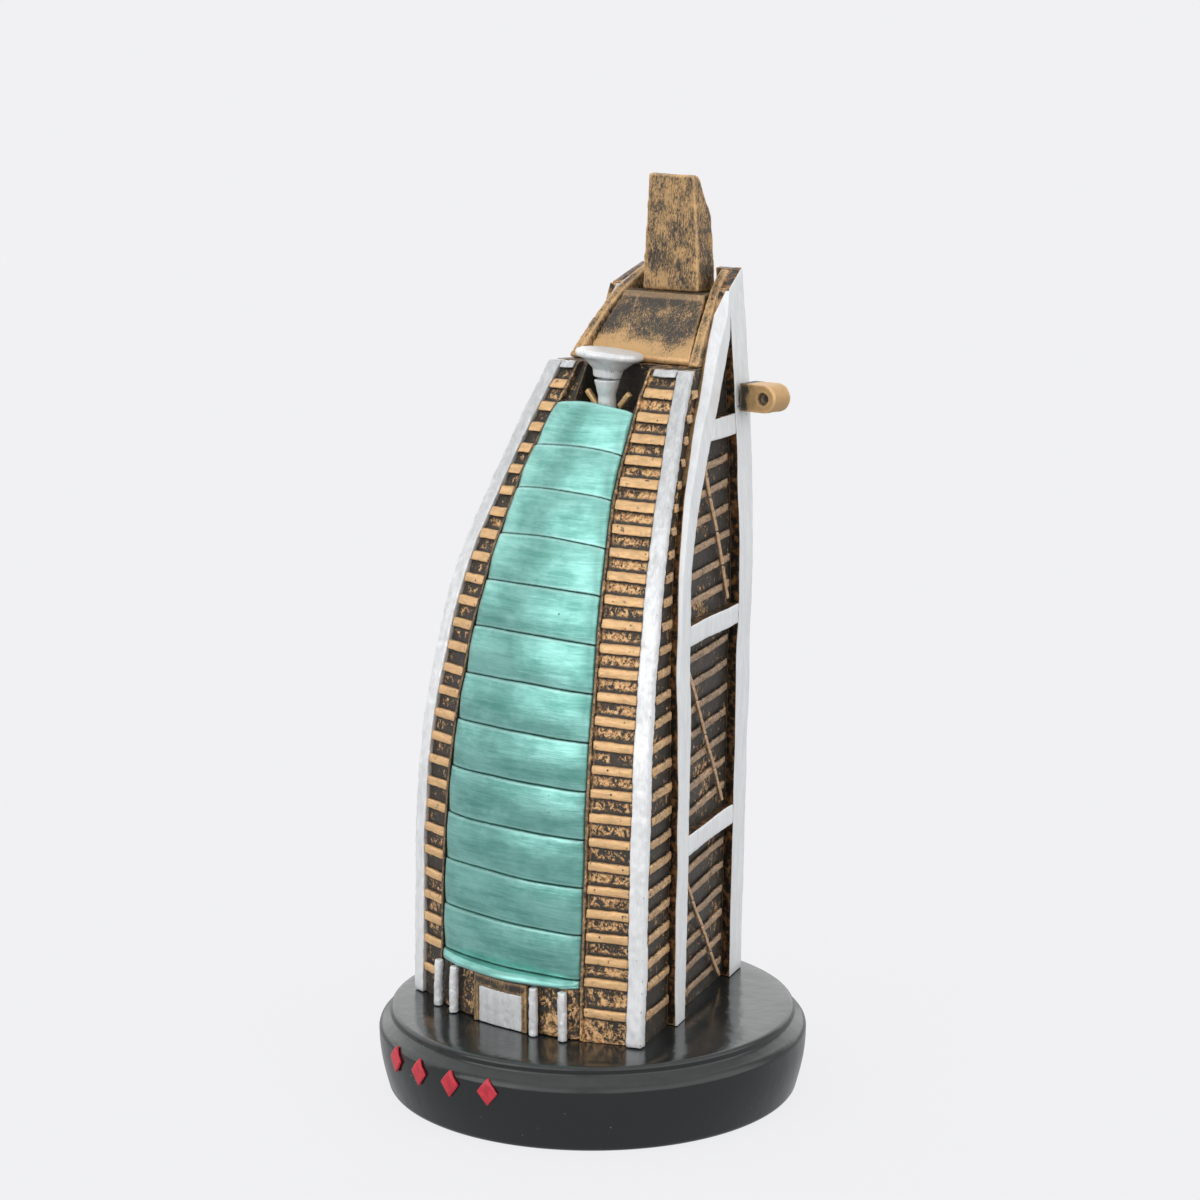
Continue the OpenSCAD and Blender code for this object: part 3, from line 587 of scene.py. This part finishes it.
def antique_bronze(paints):
    material, g, shader = coat("antique_bronze", Specular_IOR_Level=0.5)
    strokes = use(g, brush_strokes(), Grain=(2.0, 2.0, 0.65), Twist=2.2)
    wear_and_highlight = use(g, edge_wear_and_shading(), Width=0.62, Ragged=0.6)["Wear"]
    pit = use(g, casting_pits(), Spacing=(2.2, 2.2, 2.2), Size=0.10, Rarity=0.5)["Pit"]
    place = g.millimetres()
    patch = g.clouds(place, 0.22, 3.0, 0.6)
    share = g.maths("ADD", g.maths("MULTIPLY", patch, 0.65), g.maths("MULTIPLY", strokes["Height"], 1.15))
    share = g.maths("ADD", share, g.maths("MULTIPLY", g.attribute("gilding"), 0.36))
    covered = g.step(share, 0.98, 1.24)
    tone = g.mixed(covered, (0.045, 0.037, 0.029, 1), solid(paints.bronze))
    rubbed = g.mixed(g.maths("MULTIPLY", wear_and_highlight, g.step(g.attribute("gilding"), 0.2, 0.9, 0.3, 0.9)), tone,
                     solid(paints.gold))
    g.feed(shader.inputs["Base Color"], g.mixed(pit, rubbed, solid(paints.dark)))
    g.feed(shader.inputs["Metallic"], g.step(covered, 0, 1, 0.15, 0.50))
    g.feed(shader.inputs["Roughness"], g.step(strokes["Stroke"], 0, 1, 0.50, 0.36))
    bumped(g, shader, g.maths("SUBTRACT", strokes["Height"], pit), 0.10 * MM)
    return material


def rib_gold(paints):
    material, g, shader = coat("rib_gold", Specular_IOR_Level=0.5)
    brushed = use(g, dry_brush(), Low=0.45, High=0.82, Ragged=0.45, Smear=(0.9, 0.9, 0.5))
    pit = use(g, casting_pits(), Spacing=(0.9, 0.9, 0.9), Size=0.24, Rarity=0.62)["Pit"]
    strokes = use(g, brush_strokes(), Grain=(0.35, 0.35, 1.6))
    place = g.millimetres()
    worn = g.step(g.clouds(place, 0.60, 5.0, 0.75), 0.31, 0.40)
    cover = g.maths("MULTIPLY", g.maths("MULTIPLY", brushed["Paint"], worn), g.maths("SUBTRACT", 1.0, pit))
    gold = g.mixed(strokes["Stroke"], solid([c * 0.72 for c in paints.gold]), solid(paints.gold))
    dull = g.mixed(strokes["Stroke"], (0.22, 0.160, 0.125, 1), (0.48, 0.350, 0.275, 1))
    gold = g.mixed(g.step(g.attribute("gilding"), 0.3, 0.9), dull, gold)
    g.feed(shader.inputs["Base Color"], g.mixed(cover, (0.035, 0.028, 0.022, 1), gold))
    g.feed(shader.inputs["Metallic"], g.maths("MULTIPLY", cover, 0.35))
    g.feed(shader.inputs["Roughness"], g.step(strokes["Stroke"], 0, 1, 0.52, 0.38))
    height = g.maths("SUBTRACT", strokes["Height"], g.maths("MULTIPLY", pit, 1.2))
    bumped(g, shader, height, 0.12 * MM)
    return material


def silver_paint(paints):
    material, g, shader = coat("silver_paint", Specular_IOR_Level=0.5)
    strokes = use(g, brush_strokes(), Grain=(0.9, 0.9, 0.22))
    wear_and_highlight = use(g, edge_wear_and_shading(), Width=0.05, Ragged=0.7)["Wear"]
    pit = use(g, casting_pits(), Spacing=(2.6, 2.6, 2.6), Size=0.07, Rarity=0.6)["Pit"]
    place = g.millimetres()
    chips = g.step(g.clouds(place, 0.42, 5.0, 0.78), 0.70, 0.73)
    bare = g.maths("MAXIMUM", wear_and_highlight, g.maths("MAXIMUM", chips, pit))
    grey = g.mixed(strokes["Stroke"], (0.42, 0.425, 0.43, 1), (0.60, 0.61, 0.62, 1))
    white = g.mixed(strokes["Stroke"], solid([c * 0.84 for c in paints.silver]), solid(paints.silver))
    # The silver is grey where the noted share is low: on the corner strips and the top strips this is painted
    # shade, greyer towards the top.
    tone = g.mixed(g.attribute("gilding"), grey, white)
    g.feed(shader.inputs["Base Color"], g.mixed(bare, tone, (0.10, 0.085, 0.07, 1)))
    g.feed(shader.inputs["Metallic"], g.step(bare, 0, 1, 0.30, 0.1))
    g.feed(shader.inputs["Roughness"], g.step(strokes["Stroke"], 0, 1, 0.42, 0.30))
    bumped(g, shader, g.maths("SUBTRACT", strokes["Height"], bare), 0.07 * MM)
    return material


def white_paint(paints):
    """White on the faces that look out or back, and worn bronze on the walls between them."""
    material, g, shader = coat("white_paint", Specular_IOR_Level=0.5)
    strokes = use(g, brush_strokes(), Grain=(0.7, 0.7, 0.14))
    pit = use(g, casting_pits(), Spacing=(3.5, 3.5, 3.5), Size=0.06, Rarity=0.6)["Pit"]
    place = g.millimetres()
    facing = g.node("ShaderNodeSeparateXYZ", {"Vector": g.node("ShaderNodeNewGeometry").outputs["Normal"]})
    ragged = g.maths("MULTIPLY", g.maths("SUBTRACT", g.clouds(place, 0.8, 4.0, 0.7), 0.5), 0.35)
    out = g.maths("MAXIMUM", g.maths("ABSOLUTE", facing.outputs["X"]), facing.outputs["Y"])
    painted = g.step(g.maths("ADD", out, ragged), 0.36, 0.48)
    cover = g.maths("MULTIPLY", painted, g.maths("SUBTRACT", 1.0, pit))
    white = g.mixed(strokes["Stroke"], solid([c * 0.88 for c in paints.white]), solid(paints.white))
    thin = g.mixed(g.step(g.clouds(place, 0.7, 4.0, 0.7), 0.44, 0.66), solid(paints.dark), solid(paints.rust))
    worn = use(g, edge_wear_and_shading(), Width=0.30, Ragged=0.5)["Wear"]
    thin = g.mixed(g.maths("MULTIPLY", worn, 0.8), thin, solid([c * 0.7 for c in paints.gold]))
    g.feed(shader.inputs["Base Color"], g.mixed(cover, thin, white))
    g.feed(shader.inputs["Metallic"], g.step(cover, 0, 1, 0.35, 0.10))
    g.feed(shader.inputs["Roughness"], g.step(strokes["Stroke"], 0, 1, 0.44, 0.30))
    bumped(g, shader, g.maths("SUBTRACT", strokes["Height"], pit), 0.06 * MM)
    return material


def teal_metallic(paints):
    material, g, shader = coat("teal_metallic", Specular_IOR_Level=0.5)
    strokes = use(g, brush_strokes(), Grain=(0.09, 0.09, 1.1), Twist=0.4)
    fine = use(g, brush_strokes(), Grain=(0.3, 0.3, 4.5))
    wear_and_highlight = use(g, edge_wear_and_shading(), Width=0.75, Ragged=0.45)["Wear"]
    pit = use(g, casting_pits(), Spacing=(2.8, 2.8, 2.8), Size=0.07, Rarity=0.6)["Pit"]
    place = g.millimetres()
    patch = g.step(g.clouds(g.vector("MULTIPLY", place, (1, 1, 1.6)), 0.12, 4.0, 0.65), 0.36, 0.64)
    share = g.maths("ADD", g.maths("MULTIPLY", patch, 0.45), g.maths("MULTIPLY", strokes["Stroke"], 0.40))
    share = g.maths("ADD", share, g.maths("MULTIPLY", fine["Stroke"], 0.15))
    tone = g.mixed(share, solid(paints.teal_dark), solid(paints.teal))
    # Painted highlight: the teal turns light along the bands' edges, where their ledges catch the light.
    tone = g.mixed(g.maths("MULTIPLY", wear_and_highlight, 0.60), tone, solid(paints.teal_highlight))
    # Dark teal along the bands' edges: painted shade in the joints under each overhanging band, with some dark
    # wash.
    joint_wash_and_shade = use(g, edge_wear_and_shading(), Width=0.34, Ragged=0.20)["Wear"]
    tone = g.mixed(g.maths("MULTIPLY", joint_wash_and_shade, 0.85), tone, (0.014, 0.065, 0.055, 1))
    g.feed(shader.inputs["Base Color"], g.mixed(g.maths("MULTIPLY", pit, 0.7), tone, (0.02, 0.08, 0.07, 1)))
    g.feed(shader.inputs["Metallic"], g.step(share, 0, 1, 0.74, 0.86))
    g.feed(shader.inputs["Roughness"], g.step(fine["Stroke"], 0, 1, 0.38, 0.29))
    height = g.maths("ADD", g.maths("MULTIPLY", strokes["Height"], 0.7), g.maths("MULTIPLY", fine["Height"], 0.3))
    bumped(g, shader, g.maths("SUBTRACT", height, pit), 0.07 * MM)
    return material


PAINTS = {make.__name__: make for make in (
    black_lacquer, base_felt, red_enamel, dark_bronze, antique_bronze, rib_gold, silver_paint,
    white_paint, teal_metallic)}


def paint(name):
    """The material of one paint, made when it is first asked for."""
    return bpy.data.materials.get(PAINTED + name) or PAINTS[name](settings()[1])


# ---------------------------------------------------------------- operators

class TOWER_OT_plinth(Operator):
    """Lacquered plinth with its felt pad and the row of raised motifs"""

    bl_idname = "tower.plinth"
    bl_label = "Plinth"

    def execute(self, context):
        casting = settings()[0]
        rim = PLINTH_HIGH.x
        lip = rim - 2.0 * MM
        inset = 1.4 * MM
        foot, shoulder = 1.2 * MM, DECK - 3.7 * MM
        outline = [(0, 0), (0.5 * rim, 0)]
        outline += arc(rim - inset - 1.2 * MM, foot, 1.2 * MM, -90, -10, 6)
        outline += [(rim - inset * (1 - v) ** 2, lerp(foot, shoulder, v)) for v in (0.15, 0.3, 0.5, 0.65, 0.85)]
        outline += arc(rim - 1.6 * MM, shoulder, 1.6 * MM, -8, 68, 10)
        outline += [(lip + 0.42 * MM, DECK - 1.68 * MM), (lip + 0.10 * MM, DECK - 1.50 * MM),
                    (lip - 0.05 * MM, DECK - 1.25 * MM)]
        outline += arc(lip - 0.65 * MM, DECK - 0.65 * MM, 0.65 * MM, -20, 90, 8)
        outline += [(r * rim, DECK) for r in (0.86, 0.75, 0.6, 0.45, 0.3, 0.15)] + [(0, DECK)]
        bm = lathe(outline, 256)
        bm.normal_update()
        note(bm, "edge_mm", away(surface_finder(["plinth_lozenges"])))
        for v in bm.verts:
            if v.co.z > 0.5 * MM:
                wave = noise.noise(v.co / (13 * MM)) + 0.4 * noise.noise(v.co / (4 * MM))
                v.co += v.normal * wave * casting.plinth_wave * (0.5 if v.normal.z > 0.7 else 1.0)
        finished("plinth", bm, "black_lacquer")
        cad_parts["plinth_felt"].data.materials.clear()
        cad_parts["plinth_felt"].data.materials.append(paint("base_felt"))
        cast_block("plinth_lozenges", "red_enamel", 0.16, 4, grain=0.6, seed=3.0, swaying=False)
        return {"FINISHED"}


class TOWER_OT_body(Operator):
    """Core of the tower with its dark front and back panels"""

    bl_idname = "tower.body"
    bl_label = "Core and panels"

    def execute(self, context):
        cast_strip("tower_core", "dark_bronze", cell=2.6, rounding=0.8, grain=1.2, seed=1.0, gilding=0.36)
        for side, gilding in zip(SIDES, (0.55, 0.85)):
            # The panel keeps a dark border next to its ribs, strips and bands: painted shade, and also where the
            # brush doesn't reach.
            around = [f"facade_ribs_{side}", f"corner_strip_{side}", f"top_strip_{side}", *BANDS]
            cast_strip(f"facade_panel_{side}", "dark_bronze", cell=0.8, rounding=0.4, grain=1.2, seed=2.0,
                       gilding=gilding, shelter=around)
        # The back panel keeps a dark border next to its ribs: painted shade.
        cast_strip("back_panel", "dark_bronze", cell=1.2, rounding=0.4, seed=2.5, gilding=0.7,
                   shelter=["back_ribs"])
        return {"FINISHED"}


class TOWER_OT_atrium(Operator):
    """The twelve bowed bands of the glazed front and the sill below them"""

    bl_idname = "tower.atrium"
    bl_label = "Glazed bands"

    def execute(self, context):
        casting = settings()[0]
        for i, node in enumerate(BANDS + ["atrium_sill"]):
            bm = welded(node)
            edges = edge_finder(bm, math.radians(60))
            bevelled(bm, casting.rounding * 1.3)
            bm = subdivided(bm, 2)
            cast(bm, edges, casting, grain=0.5, seed=0.37 * i)
            finished(node, bm, "teal_metallic")
        return {"FINISHED"}


class TOWER_OT_ribs(Operator):
    """The raised ribs of the front, the flanks and the back"""

    bl_idname = "tower.ribs"
    bl_label = "Ribs"

    def execute(self, context):
        for i, side in enumerate(SIDES):
            cast_strip(f"facade_ribs_{side}", "rib_gold", cell=0.9, grain=1.8, seed=3.1 + i, gilding=1.0)
            cast_strip(f"side_ribs_{side}", "rib_gold", cell=0.9, grain=1.8, seed=5.1 + i, gilding=0.8)
        cast_strip("back_ribs", "rib_gold", cell=1.3, grain=1.6, seed=7.3, gilding=1.0)
        return {"FINISHED"}


class TOWER_OT_strips(Operator):
    """Silver strips on the front corners and along the top of the ribbed front"""

    bl_idname = "tower.strips"
    bl_label = "Silver strips"

    def execute(self, context):
        for i, side in enumerate(SIDES):
            # Painted shade: the corner strips' silver turns grey towards the top of the tower, and the top strips
            # get mostly grey silver.
            cast_strip(f"corner_strip_{side}", "silver_paint", cell=0.7, rounding=1.2, grain=2.2, seed=8.1 + i,
                       gilding=lambda point: 1.0 - 0.8 * smoothstep(60 * MM, 112 * MM, point.z))
            cast_strip(f"top_strip_{side}", "silver_paint", cell=0.7, grain=2.0, seed=9.1 + i, gilding=0.3)
        return {"FINISHED"}


class TOWER_OT_frames(Operator):
    """White side frames: legs and cross beams, with the lattice in their bays"""

    bl_idname = "tower.frames"
    bl_label = "Side frames"

    def execute(self, context):
        for i, side in enumerate(SIDES):
            cast_strip(f"front_leg_{side}", "white_paint", cell=1.3, seed=10.1 + i)
            cast_strip(f"back_leg_{side}", "white_paint", cell=1.5, rounding=1.6, seed=11.1 + i)
            cast_strip(f"cross_beams_{side}", "white_paint", grain=1.2, seed=12.1 + i)
            cast_strip(f"bay_bars_{side}", "rib_gold", cell=0.9, rounding=0.9, grain=1.8, seed=13.1 + i,
                       gilding=0.6)
            cast_strip(f"bay_braces_{side}", "rib_gold", cell=0.8, rounding=0.6, grain=1.4, seed=14.1 + i,
                       gilding=0.62)
        return {"FINISHED"}


class TOWER_OT_roof(Operator):
    """Bronze roof, its side plates and the mast block"""

    bl_idname = "tower.roof"
    bl_label = "Roof and mast"

    def execute(self, context):
        worn_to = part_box("roof_slope")[0].y + 0.8 * MM
        cast_block("roof_slope", "antique_bronze", 0.3, 3, grain=1.6, seed=15.1,
                   gilding=lambda point: 1.0 - 0.72 * smoothstep(worn_to, worn_to + 2.2 * MM, point.y))
        for i, side in enumerate(SIDES):
            cast_block(f"side_plate_{side}", "antique_bronze", 0.25, 4, grain=1.4, seed=16.1 + i, gilding=0.55)
        cast_block("mast_block", "antique_bronze", 0.28, 8, grain=1.0, seed=17.3, gilding=0.55)
        return {"FINISHED"}


class TOWER_OT_lugs(Operator):
    """Round-ended lugs on the flanks and the bar that carries them"""

    bl_idname = "tower.lugs"
    bl_label = "Lugs"

    def execute(self, context):
        for i, side in enumerate(SIDES):
            low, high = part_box(f"lug_{side}")
            root = min(abs(low.x), abs(high.x))
            tip = max(abs(low.x), abs(high.x)) - (high.z - low.z) / 2
            middle = Vector((math.copysign(tip, low.x), low.y, (low.z + high.z) / 2))
            # Painted shade: less gold and bronze at the root, where the lug meets the mast, and in a small dark
            # spot at the tip, the shade of a shallow recess that is not modelled.
            cast_block(f"lug_{side}", "antique_bronze", 0.2, 4, grain=1.2, seed=18.1 + i,
                       gilding=lambda point: 1.3 * smoothstep(root + 0.6 * MM, root + 3 * MM, abs(point.x))
                       * smoothstep(1.0 * MM, 1.35 * MM, (point - middle).length))
        cast_block("cross_bar", "dark_bronze", 0.3, 2, grain=0.5, seed=19.1)
        return {"FINISHED"}


class TOWER_OT_helipad(Operator):
    """Leaning silver helipad on its stem, with two struts behind it"""

    bl_idname = "tower.helipad"
    bl_label = "Helipad"

    def execute(self, context):
        cast_block("helipad_dish", "silver_paint", 0.16, 4, grain=0.6, seed=20.1, gilding=0.8)
        cast_block("helipad_stem", "silver_paint", 0.16, 4, grain=0.8, seed=21.1, gilding=0.8)
        cast_block("helipad_struts", "antique_bronze", 0.14, 3, grain=0.8, seed=22.1, gilding=0.8)
        return {"FINISHED"}


class TOWER_OT_entrance(Operator):
    """Entrance storey: wall, door, door frame and pillars"""

    bl_idname = "tower.entrance"
    bl_label = "Entrance"

    def execute(self, context):
        # The wall keeps a dark border next to the pillars and the door frame: painted shade.
        cast_strip("entrance_wall", "dark_bronze", cell=0.6, grain=2.4, seed=23.1, gilding=0.62,
                   shelter=["entrance_pillars", "door_frame"])
        cast_block("door", "silver_paint", 0.15, 2, grain=0.9, seed=24.1, gilding=0.75)
        cast_block("door_frame", "antique_bronze", 0.16, 3, grain=1.6, seed=25.1, gilding=0.32)
        cast_block("entrance_pillars", "silver_paint", 0.16, 4, grain=2.0, seed=26.1, gilding=0.85)
        return {"FINISHED"}


class TOWER_OT_studio(Operator):
    """Pale floor, even studio light and the camera"""

    bl_idname = "tower.studio"
    bl_label = "Studio"

    def execute(self, context):
        studio = settings()[2]
        self.floor(studio)
        self.light(studio)
        self.camera(studio)
        context.scene.view_settings.view_transform = "Standard"
        return {"FINISHED"}

    def floor(self, studio):
        bm = bmesh.new()
        bmesh.ops.create_grid(bm, x_segments=8, y_segments=8, size=studio.floor_size)
        mesh = bpy.data.meshes.new("studio_floor")
        bm.to_mesh(mesh)
        bm.free()
        material, g, shader = coat("studio_floor", Roughness=0.9, Specular_IOR_Level=0.0)
        paper = g.clouds(g.millimetres(), 0.8, 3.0)
        g.feed(shader.inputs["Base Color"], g.mixed(paper, (0.060, 0.060, 0.062, 1), (0.064, 0.064, 0.066, 1)))
        seen = g.node("ShaderNodeLightPath").outputs["Is Camera Ray"]
        g.feed(shader.inputs["Emission Strength"], g.step(seen, 0, 1, 0.52, studio.floor_glow))
        shader.inputs["Emission Color"].default_value = solid(studio.backdrop)
        mesh.materials.append(material)
        floor = bpy.data.objects.new("studio_floor", mesh)
        bpy.context.scene.collection.objects.link(floor)

    def light(self, studio):
        """A sky of soft panels: each is (turn from the front, height, half width, softness, strength)."""
        world = bpy.data.worlds.new("studio")
        bpy.context.scene.world = world
        world.use_nodes = True
        g = Graph(world.node_tree)
        background = world.node_tree.nodes["Background"]
        way = g.node("ShaderNodeTexCoord").outputs["Generated"]
        flat = g.vector("NORMALIZE", g.vector("MULTIPLY", way, (1, 1, 0)))
        height = g.node("ShaderNodeSeparateXYZ", {"Vector": way}).outputs["Z"]
        total = studio.fill
        panels = [(-20, 11, 12, 1.55, -0.4), (-74, 7, 14, 0.8, -0.4), (13, 8, 15, 1.15, -0.4),
                  (88, 34, 30, 1.0, -0.3), (-141, 34, 30, 1.05, -0.1)]
        for turn, inner, soft, strength, low in panels:
            a = math.radians(turn)
            along = g.vector("DOT_PRODUCT", flat, (math.sin(a), -math.cos(a), 0))
            glow = g.step(along, math.cos(math.radians(inner + soft)), math.cos(math.radians(inner)))
            glow = g.maths("MULTIPLY", glow, g.step(height, low, low + 0.3))
            glow = g.maths("MULTIPLY", glow, g.step(height, 0.45, 0.85, 1.0, 0.2))
            total = g.maths("ADD", total, g.maths("MULTIPLY", glow, strength))
        top = g.maths("MULTIPLY", g.step(height, 0.45, 0.95), 0.36)
        total = g.maths("ADD", total, top)
        seen = g.node("ShaderNodeLightPath").outputs["Is Camera Ray"]
        rays = g.node("ShaderNodeMix", {0: seen, 2: total, 3: 1.0})
        g.feed(background.inputs["Strength"], rays.outputs[0])
        tint = g.mixed(seen, (1, 1, 1, 1), solid(studio.backdrop))
        g.feed(background.inputs["Color"], tint)

    def camera(self, studio):
        data = bpy.data.cameras.new("camera")
        data.lens = studio.lens
        data.clip_start, data.clip_end = 10 * MM, 100
        camera = bpy.data.objects.new("camera", data)
        level = math.cos(studio.pitch)
        back = Vector((math.sin(studio.azimuth) * level, -math.cos(studio.azimuth) * level,
                       math.sin(studio.pitch)))
        camera.location = Vector(studio.aim) + back * studio.distance
        camera.rotation_euler = back.to_track_quat("Z", "Y").to_euler()
        bpy.context.scene.collection.objects.link(camera)
        bpy.context.scene.camera = camera


STEPS = (TOWER_OT_studio, TOWER_OT_plinth, TOWER_OT_body, TOWER_OT_atrium, TOWER_OT_ribs,
         TOWER_OT_strips, TOWER_OT_frames, TOWER_OT_roof, TOWER_OT_lugs, TOWER_OT_helipad,
         TOWER_OT_entrance)


class TOWER_PT_sidebar(Panel):
    """Lists the tower's sizes, paints and steps"""

    bl_idname = "TOWER_PT_sidebar"
    bl_label = "Souvenir tower"
    bl_space_type = "VIEW_3D"
    bl_region_type = "UI"
    bl_category = "Tower"

    def draw(self, context):
        for group in (context.scene.tower_casting, context.scene.tower_paints, context.scene.tower_studio):
            box = self.layout.box()
            for key in group.__annotations__:
                box.prop(group, key)
        for step in STEPS:
            self.layout.operator(step.bl_idname)


CLASSES = (TowerCasting, TowerPaints, TowerStudio, *STEPS, TOWER_PT_sidebar)


def register():
    for made in CLASSES:
        bpy.utils.register_class(made)
    bpy.types.Scene.tower_casting = PointerProperty(type=TowerCasting)
    bpy.types.Scene.tower_paints = PointerProperty(type=TowerPaints)
    bpy.types.Scene.tower_studio = PointerProperty(type=TowerStudio)


def unregister():
    del bpy.types.Scene.tower_casting, bpy.types.Scene.tower_paints, bpy.types.Scene.tower_studio
    for made in reversed(CLASSES):
        bpy.utils.unregister_class(made)


def main():
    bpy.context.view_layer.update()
    register()
    for step in STEPS:
        group, name = step.bl_idname.split(".")
        getattr(getattr(bpy.ops, group), name)()


if __name__ == "__main__":
    main()
